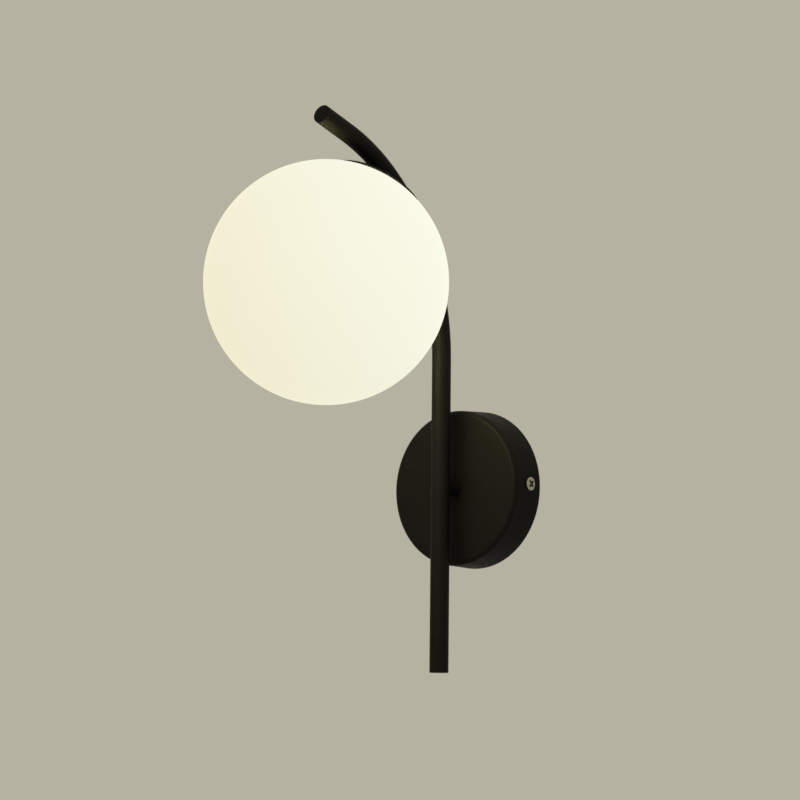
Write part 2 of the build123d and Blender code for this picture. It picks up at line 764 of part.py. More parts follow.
with BuildPart() as bulb_pins:
    for side in (-1, 1):
        pin_plane = Plane(
            origin=head_point(side * pin_spacing / 2, lamp_top), x_dir=head_direction, z_dir=(1, 0, 0)
        )
        with BuildSketch(pin_plane):
            with Locations(((pin_length - pin_root) / 2, 0)):
                SlotOverall(pin_length + pin_root, pin_loop_width)
                SlotOverall(pin_length + pin_root - 2 * pin_wire, pin_loop_width - 2 * pin_wire,
                            mode=Mode.SUBTRACT)
        extrude(amount=pin_wire / 2, both=True)
bulb_pins.part.label = "bulb_pins"

# ---------------------------------------------------------------- globe
with BuildPart() as globe_glass:
    glass_inside = globe_radius - glass_wall
    bore_foot = sqrt(glass_inside**2 - mouth_radius**2)
    with BuildSketch(head_section):
        with BuildLine():
            ThreePointArc((0, -globe_radius), (globe_radius, 0), (mouth_rim_radius, mouth_height))
            Polyline((mouth_rim_radius, mouth_height), (mouth_radius, mouth_height), (mouth_radius, bore_foot))
            ThreePointArc((mouth_radius, bore_foot), (glass_inside, 0), (0, -glass_inside))
            Line((0, -glass_inside), (0, -globe_radius))
        make_face()
    revolve(axis=head_axis)
globe_glass.part.label = "globe_glass"

with BuildPart() as globe_ring:
    with BuildSketch(head_section):
        with BuildLine():
            Polyline(
                (ring_bore, ring_bottom),
                (mouth_radius - bond_gap, ring_bottom),
                (mouth_radius - bond_gap, mouth_height),
                (ring_flange_radius, mouth_height),
                (ring_flange_radius, ring_top),
                (ring_bore, ring_top),
                close=True,
            )
        make_face()
    revolve(axis=head_axis)
globe_ring.part.label = "globe_ring"

with BuildPart() as globe_gasket:
    with BuildSketch(head_section):
        with Locations((ring_bore + seat_gap + gasket_width / 2, gasket_bottom + gasket_thickness / 2)):
            Rectangle(gasket_width, gasket_thickness)
    revolve(axis=head_axis)
globe_gasket.part.label = "globe_gasket"


# ---------------------------------------------------------------- inner leads
def arm_lead(side):
    """Lead from the terminal block through the wall stub, up the arm and down the holder stub."""
    x = side * lead_offset
    pole_x = side * pole_pitch
    turn_gap = degrees(asin(lead_turn / (bend_radius - lead_turn)))
    leave_angle = holder_angle - turn_gap
    turn_centre = bend_point(x, bend_radius - lead_turn, leave_angle)
    turn_start = bend_point(x, bend_radius, leave_angle)
    line_start = bend_point(x, (bend_radius - lead_turn) * cos(radians(turn_gap)), holder_angle)
    middle = (turn_start - turn_centre) + (line_start - turn_centre)
    turn_middle = turn_centre + middle.normalized() * lead_turn
    cover_stretch = bend_start / 2
    spread_top = head_thread_end
    wire_hole = head_point(side * pin_spacing / 2, holder_seat + bracket_thickness)
    with BuildPart() as lead:
        with BuildLine() as route:
            FilletPolyline(
                (pole_x, -insert_depth, block_centre + lead_end_rise),
                (pole_x, -insert_depth, block_top + lead_turn_rise),
                (x, -wall_thread_end + lead_run_in, 0),
                (x, -arm_reach, 0),
                (x, -arm_reach, cover_stretch),
                radius=lead_turn,
            )
            Line((x, -arm_reach, cover_stretch), (x, -arm_reach, bend_start))
            ThreePointArc(
                bend_point(x, bend_radius, 0), bend_point(x, bend_radius, leave_angle / 2), turn_start
            )
            ThreePointArc(turn_start, turn_middle, line_start)
            FilletPolyline(
                line_start,
                head_point(x, spread_top),
                wire_hole,
                head_point(side * pin_spacing / 2, holder_face + pin_slot_depth + pin_slot_play),
                radius=spread_turn,
            )
        with BuildSketch(Plane(origin=route.line @ 0, z_dir=route.line % 0)):
            Circle(lead_radius)
        sweep()
    return lead.part


with BuildPart() as live_lead:
    add(arm_lead(1))
live_lead.part.label = "live_lead"

with BuildPart() as neutral_lead:
    add(arm_lead(-1))
neutral_lead.part.label = "neutral_lead"

with BuildPart() as earth_lead:
    with BuildLine() as earth_route:
        FilletPolyline(
            (barrel_end - lead_in_barrel, barrel_y, earth_z),
            (0, barrel_y, earth_z),
            (0, -insert_depth, block_top + lead_turn_rise),
            (0, -insert_depth, block_centre + lead_end_rise),
            radius=earth_lead_turn,
        )
    with BuildSketch(Plane(origin=earth_route.line @ 0, z_dir=earth_route.line % 0)):
        Circle(lead_radius)
    sweep()
earth_lead.part.label = "earth_lead"

# ---------------------------------------------------------------- files
pieces = [
    wall_bracket, canopy_cover, side_screws, earth_screw, earth_ring, terminal_block, terminal_inserts,
    terminal_screws, terminal_fixing_screw, wall_stub, wall_stub_washer, wall_stub_nut, arm_tube,
    lower_end_plug, upper_end_plug, holder_stub, cap_washer, cap_nut, globe_cap, threaded_cup,
    lampholder_bracket, lampholder_nut, lampholder_body, lampholder_contacts, lampholder_screws,
    live_lead, neutral_lead, earth_lead, bulb_base, bulb_cover, bulb_board, bulb_pins, globe_gasket,
    globe_ring, globe_glass,
]
os.makedirs("parts", exist_ok=True)
for piece in pieces:
    export_step(piece.part, f"parts/{piece.part.label}.step")
    print(f"{piece.part.label:24s} {piece.part.volume:10.1f} mm3")
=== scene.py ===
# %% [markdown]
# # A globe wall sconce
# A satin opal globe hangs from the bend of a slim black tube, which stands off a round wall
# cover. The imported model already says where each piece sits, so this lesson starts by loading
# it as a frame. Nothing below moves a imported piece. It only gives finished surfaces and
# finishes to pieces that stay where the frame has them.

# %% Load the frame
import json
import math

import bpy
import numpy as np
from mathutils import Matrix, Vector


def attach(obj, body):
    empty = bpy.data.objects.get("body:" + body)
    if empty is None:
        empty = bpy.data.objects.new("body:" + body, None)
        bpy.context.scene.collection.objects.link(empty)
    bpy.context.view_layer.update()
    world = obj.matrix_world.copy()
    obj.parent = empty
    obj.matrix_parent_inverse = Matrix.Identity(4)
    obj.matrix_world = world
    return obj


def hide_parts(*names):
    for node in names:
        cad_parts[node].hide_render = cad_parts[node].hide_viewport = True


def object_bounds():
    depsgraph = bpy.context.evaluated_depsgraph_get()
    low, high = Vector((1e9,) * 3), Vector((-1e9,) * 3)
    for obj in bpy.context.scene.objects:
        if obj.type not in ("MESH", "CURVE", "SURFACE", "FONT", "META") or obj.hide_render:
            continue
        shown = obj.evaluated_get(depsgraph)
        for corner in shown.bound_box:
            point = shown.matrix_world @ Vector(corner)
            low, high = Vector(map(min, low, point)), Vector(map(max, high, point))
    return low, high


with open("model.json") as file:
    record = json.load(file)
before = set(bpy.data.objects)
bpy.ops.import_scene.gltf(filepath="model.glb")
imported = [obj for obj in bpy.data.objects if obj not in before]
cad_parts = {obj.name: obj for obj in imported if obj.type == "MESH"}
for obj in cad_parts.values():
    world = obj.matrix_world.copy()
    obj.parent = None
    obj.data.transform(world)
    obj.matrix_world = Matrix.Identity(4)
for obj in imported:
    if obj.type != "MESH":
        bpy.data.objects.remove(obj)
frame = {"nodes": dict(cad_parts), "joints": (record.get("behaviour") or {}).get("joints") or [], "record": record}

cad_low, cad_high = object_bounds()
record = frame["record"]
print("packed box", [round(v, 4) for v in cad_low], [round(v, 4) for v in cad_high])

# %% [markdown]
# Machinists think in millimetres, and Blender in metres. All sizes below are millimetres, and
# only the function that makes a mesh turns them into metres. The globe's axis and centre come
# from the joint that it turns on, and the pitch of its thread from the coupling of that joint,
# so the surfaces made here agree with how the pieces move.

# %% Sizes that the frame gives
MM = 0.001
body_of = {node: body for body, nodes in record["behaviour"]["bodies"].items() for node in nodes}
globe_turn = next(joint for joint in frame["joints"] if joint["name"] == "globe_turn")
globe_centre = np.array(globe_turn["pos_m"]) / MM
head_up = -np.array(globe_turn["axis"], float)
globe_pitch = 2 * math.pi * record["behaviour"]["couplings"][0]["ratio"] / MM
print("globe centre", globe_centre.round(2), "thread pitch", round(globe_pitch, 3))

# %% Sizes of the real pieces, in millimetres
cover_back, cover_front, cover_depth, cover_wall, cover_edge = 50.0, 49.0, 24.0, 1.2, 3.0
tube_radius, tube_wall = 6.0, 1.0
arm_reach, arm_foot = 37.8, -117.0
bend_start, bend_radius, bend_angle, tip_length = 80.0, 140.0, 71.0, 26.0
holder_angle = 54.0
globe_radius, glass_wall = 75.0, 2.5
cup_radius, cup_wall, cup_top_wall, cup_corner, cup_height = 26.0, 1.6, 1.5, 3.0, 14.3
ring_wall, ring_height, ring_flange, ring_flange_width = 2.7, 11.2, 1.2, 2.0
mouth_land, bond_gap, seat_gap, fit_gap = 3.7, 0.2, 0.3, 0.05
thread_gap, joint_gap, hole_gap = 0.1, 0.1, 0.1
cap_gap, cap_wall, cap_half_angle, cap_flat_radius = 1.0, 1.2, 28.5, 10.0
stub_radius, stub_bore, stub_length = 5.5, 2.9, 16.95
stub_thread, stub_root, stub_pitch = 4.0, 3.45, 1.0
washer_radius, washer_thickness, nut_flats, nut_height, thread_spare = 7.5, 1.0, 13.0, 3.0, 1.2

# %% Heights along the head, measured from the globe's centre
mouth_radius = cup_radius + thread_gap + ring_wall + bond_gap
mouth_rim = mouth_radius + mouth_land
mouth_height = math.sqrt(globe_radius**2 - mouth_rim**2)
dome_inside = globe_radius + cap_gap
dome_outside = dome_inside + cap_wall
cap_flat = math.sqrt(dome_outside**2 - cap_flat_radius**2)
tube_height = cap_flat + stub_length
cap_nut_top = cap_flat - cap_wall - washer_thickness
cup_top = cap_nut_top - nut_height
cup_bottom = cup_top - cup_height
bracket_thickness = 1.0
second_nut_top = cup_top - cup_top_wall - bracket_thickness
head_thread_end = second_nut_top - nut_height - thread_spare
ring_top = mouth_height + ring_flange
ring_bottom = ring_top - ring_height
print("mouth", round(mouth_height, 2), "cup", round(cup_bottom, 2), "to", round(cup_top, 2))

# %% [markdown]
# ## How surfaces are made here
# A turned or bent metal part could be made with Blender's Spin tool or with primitives and
# bevels. A surface worked out as a grid of points is more exact: rows run along a profile,
# columns run round the axis, and each neighbouring pair of rows and columns makes one quad.
# Whole arrays are worked out at once, so there is no loop over vertices.

# %% From a grid of points to a mesh
def place(origin, axis, across=(1.0, 0.0, 0.0)):
    """A piece's own axes as rows: across, sideways = axis x across, axis, and its origin last."""
    return np.vstack([across, np.cross(axis, across), axis, origin]).astype(float)


def stand(name, data):
    """A new object in the scene, from a mesh, a lamp's data or a camera's."""
    thing = bpy.data.objects.new(name, data)
    bpy.context.scene.collection.objects.link(thing)
    return thing


def skin(name, grids, closed):
    """One mesh from grids of points (rows x columns x 3, in millimetres).

    Columns wrap round, and rows too where closed is true. A row whose points all coincide
    becomes one pole, and its quads become triangles. The signed volume, a sum of
    a . (b x c) / 6 over the triangles, says whether the faces have to be turned over."""
    points, faces, start = [], [], 0
    for grid in grids:
        rows, columns = grid.shape[:2]
        number = np.arange(rows * columns).reshape(rows, columns)
        pole = np.ptp(grid, axis=1).max(axis=1) < 1e-6
        number[pole] = number[pole, :1]
        number = np.vstack([number, number[:1]]) if closed else number
        number = np.hstack([number, number[:, :1]])
        quads = np.stack(
            [number[:-1, :-1], number[:-1, 1:], number[1:, 1:], number[1:, :-1]], axis=-1
        ).reshape(-1, 4)
        flat = grid.reshape(-1, 3)
        a, b, c, d = (flat[quads[:, k]] for k in range(4))
        volume = np.einsum("ij,ij->", a, np.cross(b, c)) + np.einsum("ij,ij->", a, np.cross(c, d))
        if volume < 0:
            quads = quads[:, ::-1]
        used, quads = np.unique(quads, return_inverse=True)
        quads = quads.reshape(-1, 4) + start
        first, last = quads[:, 0] == quads[:, 1], quads[:, 2] == quads[:, 3]
        faces += quads[~(first | last)].tolist()
        faces += quads[first][:, [0, 2, 3]].tolist() + quads[last & ~first][:, :3].tolist()
        points.append(flat[used])
        start += len(used)
    mesh = bpy.data.meshes.new(name)
    mesh.from_pydata(np.vstack(points) * MM, [], faces)
    piece = stand(name, mesh)
    finish_mesh(piece)
    return piece


def finish_mesh(piece, sharp=32.0):
    """Smooth shading with sharp edges over an angle, and normals weighted by the faces' area."""
    piece.data.shade_smooth()
    piece.data.set_sharp_from_angle(angle=math.radians(sharp))
    piece.modifiers.new("even_normals", "WEIGHTED_NORMAL").keep_sharp = True


# %% Profiles: legs, rounded corners and circles
def rounded(corners, radii, closed=False, steps=7):
    """A path whose corners are arcs, in the plane or in space.

    An arc of radius r leaves each leg r x tan(turn / 2) from the corner. Its centre lies on
    the line that halves the corner, and its points are start and end arm weighted by
    sin((1 - t) turn) and sin(t turn), over sin(turn)."""
    corners = np.asarray(corners, float)
    radii = np.broadcast_to(radii, len(corners))
    path = []
    for k, (corner, radius) in enumerate(zip(corners, radii)):
        if radius == 0 or (not closed and k in (0, len(corners) - 1)):
            path.append(corner[None])
            continue
        back = corners[k - 1] - corner
        ahead = corners[(k + 1) % len(corners)] - corner
        back, ahead = back / np.linalg.norm(back), ahead / np.linalg.norm(ahead)
        turn = math.pi - math.acos(np.clip(back @ ahead, -1, 1))
        cut = radius * math.tan(turn / 2)
        middle = corner + (back + ahead) / np.linalg.norm(back + ahead) * radius / math.cos(turn / 2)
        t = np.linspace(0, 1, steps)[:, None]
        start, end = corner + back * cut - middle, corner + ahead * cut - middle
        path.append(middle + (start * np.sin((1 - t) * turn) + end * np.sin(t * turn)) / math.sin(turn))
    return np.vstack(path)


def dense(path, step):
    """The same path with points at most a step apart, its own points kept."""
    length = np.concatenate([[0.0], np.cumsum(np.linalg.norm(np.diff(path, axis=0), axis=1))])
    pieces = np.maximum(np.ceil(np.diff(length) / step).astype(int), 1)
    stretches = zip(length, length[1:], pieces)
    at = np.concatenate([np.linspace(a, b, n, endpoint=False) for a, b, n in stretches])
    at = np.append(at, length[-1])
    return np.stack([np.interp(at, length, path[:, k]) for k in range(path.shape[1])], axis=1)


def on_circle(radius, start, end, steps):
    """Profile points of a circle about the origin: (radius sin(angle), radius cos(angle))."""
    angle = np.radians(np.linspace(start, end, steps))
    return radius * np.stack([np.sin(angle), np.cos(angle)], axis=1)


# %% [markdown]
# A thread could be a swept helix joined to a rod, but that leaves seams. Here the thread is
# part of the surface: the radius swings between root and crest with the sine of a phase that
# climbs one pitch per turn. Both halves of a screwed joint use the same phase, so they mesh
# at rest and at every turn.

# %% Turning a profile, with or without a thread
def thread(low_radius, high_radius, pitch, base, bottom, top, run):
    """A round right-hand thread for rows whose radius is base, between two heights.

    Radius = middle + swing x sin(2 pi height / pitch - angle), faded back to base over a run
    at both ends."""

    def cut(radius, height, angle):
        wave = (low_radius + high_radius) / 2 + (high_radius - low_radius) / 2 * np.sin(
            2 * np.pi * height / pitch - angle
        )
        fade = np.clip((height - bottom) / run, 0, 1) * np.clip((top - height) / run, 0, 1)
        return np.where(np.isclose(radius, base), base + (wave - base) * fade, radius)

    return cut


def spin(profile, where, columns=96, cut=None):
    """A grid from a profile of (radius, height) rows turned about the axis of its place.

    x = radius cos(angle), y = radius sin(angle) and z = height, in the piece's own axes."""
    angle = np.linspace(0, 2 * np.pi, columns, endpoint=False)[None]
    radius = profile[:, :1] + 0 * angle
    height = profile[:, 1:2] + 0 * angle
    radius = cut(radius, height, angle) if cut else radius
    return put(radius, height, angle, where)


def put(radius, height, angle, where):
    """Round coordinates in a piece's own axes, as points in the frame."""
    own = np.stack([radius * np.cos(angle), radius * np.sin(angle), height], axis=-1)
    return own @ where[:3] + where[3]


def tube(path, radius, inner, across, columns=48):
    """A round tube along a path: every ring stands square to the path's tangent.

    The ring's first arm is tangent x across and the second is tangent x first arm. With an
    inner radius the grid comes back inside the outer wall, and without one it ends in poles."""
    tangent = np.gradient(path, axis=0)
    tangent /= np.linalg.norm(tangent, axis=1, keepdims=True)
    first = np.cross(tangent, across)
    first /= np.linalg.norm(first, axis=1, keepdims=True)
    second = np.cross(tangent, first)
    angle = np.linspace(0, 2 * np.pi, columns, endpoint=False)[None, :, None]
    ring = first[:, None] * np.cos(angle) + second[:, None] * np.sin(angle)
    outside = path[:, None] + radius * ring
    if inner:
        return np.vstack([outside, (path[:, None] + inner * ring)[::-1]])
    ends = path[[0, -1], None] + 0 * ring[[0, -1]]
    return np.vstack([ends[:1], outside, ends[1:]])


def drill(piece, holes):
    """Cuts round holes, each from a start to an end point with a radius, by subtracting rods."""
    for start, end, radius in holes:
        line = np.linspace(start, end, 3)
        across = (0.0, 0.0, 1.0) if abs(line[1][2] - line[0][2]) < 1e-3 else (1.0, 0.0, 0.0)
        rod = skin("drill", [tube(line, radius, 0, across)], False)
        piece.modifiers.clear()
        cutter = piece.modifiers.new("hole", "BOOLEAN")
        cutter.object, cutter.operation, cutter.solver = rod, "DIFFERENCE", "EXACT"
        state = bpy.context.evaluated_depsgraph_get()
        cut = bpy.data.meshes.new_from_object(piece.evaluated_get(state))
        piece.modifiers.clear()
        piece.data = cut
        bpy.data.objects.remove(rod)
        finish_mesh(piece)


# %% [markdown]
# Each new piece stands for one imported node: it rides on the same body, hides that node and
# takes its material slot. One function does this, so that no piece is forgotten.

# %% Keep a piece in place of its node
finished = {}


def keep(piece, node):
    """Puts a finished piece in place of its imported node, on the same body and slot."""
    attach(piece, body_of[node])
    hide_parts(node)
    finished[node] = piece
    print(f"{piece.name:22s} for {node:22s} on {body_of[node]:8s} {len(piece.data.polygons):6d} faces")


wall = place((0, 0, 0), (0, -1, 0))
head = place(globe_centre, head_up)
bend_centre = np.array([0.0, -arm_reach - bend_radius, bend_start])


def bend_point(x, distance, angle):
    """A point beside the bend: distance from its centre, angle up from the wall's direction."""
    turn = np.radians(np.asarray(angle, float))
    arm = np.stack([x + 0 * turn, distance * np.cos(turn), distance * np.sin(turn)], axis=-1)
    return bend_centre + arm


# %% [markdown]
# ## The globe
# The globe is blown opal glass with a ground mouth. A UV sphere with a hole would do for a
# picture, but its wall would have no thickness where the mouth shows. So the profile runs
# from the outer pole up to the mouth, across the ground rim, and down the inside.

# %% Opal globe
bore_angle = math.degrees(math.asin(mouth_radius / (globe_radius - glass_wall)))
rim_angle = math.degrees(math.asin(mouth_rim / globe_radius))
rim = rounded(
    [
        on_circle(globe_radius, rim_angle + 1, rim_angle + 1, 1)[0],
        (mouth_rim, mouth_height),
        (mouth_radius, mouth_height),
        on_circle(globe_radius - glass_wall, bore_angle, bore_angle, 1)[0],
    ],
    [0, 0.5, 0.3, 0],
)
globe_profile = np.vstack(
    [
        on_circle(globe_radius, 180, rim_angle + 2, 100),
        rim,
        on_circle(globe_radius - glass_wall, bore_angle + 1, 180, 70),
    ]
)
globe_profile[[0, -1], 0] = 0
keep(skin("opal_globe", [spin(globe_profile, head, 192)], False), "globe_glass")

# %% [markdown]
# A turned ring is bonded in the mouth and carries the inside thread. Its section is an angle:
# a bush in the bore and a flange on the ground rim. The thread is a soft knuckle form, as on
# globes that are screwed on by hand.

# %% Threaded ring in the globe's mouth
male_root, male_crest, thread_play = cup_radius - 0.8, cup_radius, 0.35
female_root = male_crest + thread_play
ring_section = rounded(
    [
        (female_root, ring_bottom),
        (mouth_radius - bond_gap, ring_bottom),
        (mouth_radius - bond_gap, mouth_height),
        (mouth_radius + ring_flange_width, mouth_height),
        (mouth_radius + ring_flange_width, ring_top),
        (female_root, ring_top),
    ],
    [0.3, 0.4, 0, 0.3, 0.4, 0.4],
    closed=True,
    steps=5,
)
ring_section = dense(np.vstack([ring_section, ring_section[:1]]), 0.25)[:-1]
female = thread(
    male_root + thread_play, female_root, globe_pitch, female_root, ring_bottom + 0.6, ring_top - 1.4, 0.9
)
keep(skin("mouth_ring", [spin(ring_section, head, 144, female)], True), "globe_ring")

# %% Silicone gasket on the ring
gasket_inside, gasket_width, gasket_thickness = cup_radius + thread_gap + seat_gap, 2.4, 1.0
gasket_bottom = ring_top + seat_gap
gasket_section = rounded(
    [
        (gasket_inside, gasket_bottom),
        (gasket_inside + gasket_width, gasket_bottom),
        (gasket_inside + gasket_width, gasket_bottom + gasket_thickness),
        (gasket_inside, gasket_bottom + gasket_thickness),
    ],
    0.3,
    closed=True,
    steps=5,
)
keep(skin("mouth_gasket", [spin(gasket_section, head, 128)], True), "globe_gasket")

# %% [markdown]
# ## The cap and the cup
# The cap is a shallow spun dome that hugs the glass a millimetre away, with its lip rolled
# round. The cup under it carries the outside thread, with a plain shoulder above the thread.
# Both are profiles turned about the same axis as the globe.

# %% Spun cap
hole = stub_thread + hole_gap
flat_inside = cap_flat - cap_wall
inside_flat_radius = math.sqrt(dome_inside**2 - flat_inside**2)
lip = on_circle(dome_inside + cap_wall / 2, cap_half_angle, cap_half_angle, 1)[0]
lip_angle, lip_bulge = math.radians(cap_half_angle), 0.6
lip_tangent = np.array([math.cos(lip_angle), -math.sin(lip_angle)])
lip_normal = lip / np.linalg.norm(lip)
lip_turn = np.radians(np.linspace(90, -90, 9))[1:-1, None]
lip_arm = lip_normal * np.sin(lip_turn) + lip_bulge * lip_tangent * np.cos(lip_turn)
outside_start = math.degrees(math.asin(cap_flat_radius / dome_outside))
inside_end = math.degrees(math.asin(inside_flat_radius / dome_inside))
flat_margin = 1.5
cap_profile = np.vstack(
    [
        [(hole, flat_inside), (hole, cap_flat), (cap_flat_radius - flat_margin, cap_flat)],
        on_circle(dome_outside, outside_start, cap_half_angle, 26),
        lip + cap_wall / 2 * lip_arm,
        on_circle(dome_inside, cap_half_angle, inside_end, 22),
        [(inside_flat_radius - flat_margin, flat_inside)],
    ]
)
keep(skin("spun_cap", [spin(cap_profile, head, 144)], True), "globe_cap")

# %% Threaded cup
shoulder = cup_top - cup_corner - 0.35
cup_outside = rounded(
    [
        (cup_radius - cup_wall, cup_bottom),
        (male_root, cup_bottom),
        (male_root, shoulder),
        (cup_radius, shoulder + 0.3),
        (cup_radius, cup_top),
        (hole, cup_top),
        (hole, cup_top - cup_top_wall),
        (cup_radius - cup_wall, cup_top - cup_top_wall),
    ],
    [0.15, 0.3, 0, 0, cup_corner, 0.2, 0.2, cup_corner - cup_wall],
    closed=True,
)
cup_section = dense(np.vstack([cup_outside, cup_outside[:1]]), 0.25)[:-1]
male = thread(male_root, male_crest, globe_pitch, male_root, cup_bottom + 0.5, shoulder, 0.8)
keep(skin("thread_cup", [spin(cup_section, head, 144, male)], True), "threaded_cup")

# %% [markdown]
# ## The arm
# The arm is one steel tube: a long upright, a wide bend and a short straight tip. A Bezier
# curve with a bevel would be quick, but a curve of exact lines and one exact arc keeps the
# bend truly round. The wall is there too, because its ends and holes are open inside.

# %% Bent tube
plug_head, plug_length = 1.0, 7.0
tip_direction = np.array([0.0, -math.sin(math.radians(bend_angle)), math.cos(math.radians(bend_angle))])
foot = np.array([0.0, -arm_reach, arm_foot + plug_head])
shoulder_point = bend_point(0, bend_radius, bend_angle)
tip = shoulder_point + tip_direction * (tip_length - plug_head)
arm_line = np.vstack(
    [
        dense(np.array([foot, bend_point(0, bend_radius, 0)]), 4.0)[:-1],
        bend_point(0, bend_radius, np.linspace(0, bend_angle, 86)),
        dense(np.array([shoulder_point, tip]), 4.0)[1:],
    ]
)
arm_grid = tube(arm_line, tube_radius, tube_radius - tube_wall, (1.0, 0.0, 0.0), 72)
bent_tube = skin("bent_tube", [arm_grid], True)
wall_side = np.array([0.0, -arm_reach, 0.0])
head_side = bend_point(0, bend_radius, holder_angle)
drill(
    bent_tube,
    [
        (wall_side, wall_side + [0, 2 * tube_radius, 0], stub_bore),
        (head_side, head_side - head_up * 2 * tube_radius, stub_bore),
    ],
)
keep(bent_tube, "arm_tube")

# %% [markdown]
# Both ends are closed by flush plugs: a disc as wide as the tube, with a softened edge and a
# spigot that is pushed into the bore. From outside only the disc shows.

# %% End plugs
plug_spigot = tube_radius - tube_wall - fit_gap
plug_profile = rounded(
    [
        (0, plug_head),
        (tube_radius, plug_head),
        (tube_radius, 0),
        (plug_spigot, 0),
        (plug_spigot, plug_head - plug_length),
        (0, plug_head - plug_length),
    ],
    [0, 0.45, 0.06, 0, 0.8, 0],
)
keep(skin("foot_plug", [spin(plug_profile, place(foot, (0, 0, -1)), 72)], False), "lower_end_plug")
keep(skin("tip_plug", [spin(plug_profile, place(tip, tip_direction), 72)], False), "upper_end_plug")

# %% [markdown]
# Two turned stubs carry the tube, one from the wall cover and one to the globe's cap. Their
# far end is cut to a saddle that hugs the tube. A boolean would cut it too, but the saddle has
# a formula: at x across the tube, its skin lies the root of (radius squared - x squared) from
# its axis. For the bent stretch the same distance counts from the centre of the bend.

# %% Saddle-cut stubs
saddle_radius = tube_radius + joint_gap


def stub(face, thread_end, where, saddle):
    """Grid of a hollow stub: threaded end, shoulder, body, saddle and bore, back to its start."""
    angle = np.linspace(0, 2 * np.pi, 96, endpoint=False)[None]
    end = rounded(
        [(stub_bore, thread_end), (stub_root, thread_end), (stub_root, face), (stub_radius, face)],
        [0, 0.2, 0.1, 0],
        steps=4,
    )
    end = dense(np.vstack([end, (stub_radius, face + 0.2)]), 0.11)
    cut = thread(stub_root, stub_thread, stub_pitch, stub_root, thread_end + 0.2, face, 0.6)
    radius, height = end[:, :1] + 0 * angle, end[:, 1:] + 0 * angle
    radius = cut(radius, height, angle)

    def saddle_row(size):
        return saddle(size * np.cos(angle), size * np.sin(angle))

    share = np.linspace(0, 1, 9)[1:, None]
    body = face + 0.2 + share * (saddle_row(stub_radius) - face - 0.2)
    sizes = np.linspace(stub_radius, stub_bore, 7)[1:, None]
    bore = saddle_row(stub_bore) + share * (thread_end - saddle_row(stub_bore))
    radius = np.vstack([radius, stub_radius + 0 * body, sizes + 0 * angle, stub_bore + 0 * bore[:-1]])
    height = np.vstack([height, body, saddle_row(sizes), bore[:-1]])
    return put(radius, height, angle, where)


def straight_saddle(x, side):
    """Distance from the wall to the skin of the upright tube."""
    return arm_reach - np.sqrt(saddle_radius**2 - x**2) + 0 * side


def bent_saddle(x, side):
    """Height along the head to the skin of the bent tube."""
    from_bend = bend_radius - np.sqrt(saddle_radius**2 - x**2)
    return np.sqrt(from_bend**2 - side**2) - (bend_radius - tube_height)


wall_nut_back = cover_depth - cover_wall - washer_thickness - nut_height
wall_thread_end = wall_nut_back - thread_spare
keep(skin("cover_stub", [stub(cover_depth, wall_thread_end, wall, straight_saddle)], True), "wall_stub")
keep(skin("cap_stub", [stub(cap_flat, head_thread_end, head, bent_saddle)], True), "holder_stub")

# %% [markdown]
# Washers and thin hexagon nuts clamp the stubs. A hexagon is a circle whose radius changes
# with the angle: half the flats over the cosine of the angle to the nearest flat. Where that
# radius passes the flats, a 30 degree cone takes the corners off.

# %% Washers and nuts
def washer(name, top, where, node):
    """A punched washer under a height, with softened edges."""
    low = top - washer_thickness
    corners = [(hole, low), (washer_radius, low), (washer_radius, top), (hole, top)]
    section = rounded(corners, 0.18, closed=True, steps=4)
    keep(skin(name, [spin(section, where, 72)], True), node)


def nut(name, top, where, node):
    """A hexagon nut under a height, its free face chamfered, with a thread that meets its stub's."""
    low, half = top - nut_height, nut_flats / 2
    angle = np.linspace(0, 2 * np.pi, 96, endpoint=False)[None]
    hexagon = half / np.cos((angle % (np.pi / 3)) - np.pi / 6)
    play = 0.06
    bore = stub_thread + play
    share = np.linspace(0, 1, 4)[:, None]
    cone = half + share * (hexagon - half)
    walls = np.linspace(top, low, 26)[:-1, None] + 0 * angle
    cut = thread(stub_root + play, bore, stub_pitch, bore, low + 0.1, top - 0.1, 0.4)
    radius = np.vstack([bore + 0 * angle, cone, hexagon, cut(bore + 0 * walls, walls, angle)])
    height = np.vstack(
        [low + 0 * angle, low + (cone - half) * math.tan(math.radians(30)), top + 0 * angle, walls]
    )
    keep(skin(name, [put(radius, height, angle, where)], True), node)


washer("cover_washer", cover_depth - cover_wall, wall, "wall_stub_washer")
nut("cover_nut", cover_depth - cover_wall - washer_thickness, wall, "wall_stub_nut")
washer("dome_washer", flat_inside, head, "cap_washer")
nut("dome_nut", cap_nut_top, head, "cap_nut")
nut("holder_nut", second_nut_top, head, "lampholder_nut")

# %% [markdown]
# ## The wall cover
# The cover is a pressed steel pan with a slight taper and a rounded front edge, which catches
# a soft ring of light. Its profile is turned, and the two holes for the side screws are
# drilled through its rim.

# %% Round cover
cover_profile = rounded(
    [
        (cover_back, 0),
        (cover_front, cover_depth),
        (hole, cover_depth),
        (hole, cover_depth - cover_wall),
        (cover_front - cover_wall, cover_depth - cover_wall),
        (cover_back - cover_wall, 0),
    ],
    [0.3, cover_edge, 0.15, 0.15, cover_edge - cover_wall, 0.3],
    closed=True,
    steps=12,
)
round_cover = skin("round_cover", [spin(cover_profile, wall, 192)], True)
screw_depth, screw_rise, m4_radius = 9.6, 1.5, 2.0
drill_start, drill_end = 40.0, 60.0
screw_place = np.array([0.0, -screw_depth, screw_rise])
to_right = np.array([1.0, 0.0, 0.0])
for s in (-1, 1):
    start, end = screw_place + s * to_right * drill_start, screw_place + s * to_right * drill_end
    drill(round_cover, [(start, end, m4_radius + hole_gap)])
keep(round_cover, "canopy_cover")

# %% [markdown]
# The screws have a domed head with a cross recess. The crown is an arc of a circle over a
# short straight rim. The cross is two bars, each one where a point lies within its length and
# width, and a round pit where they meet. It is deepest in the middle, where a driver's tip
# goes. Short slopes at its walls keep the steps from looking torn.

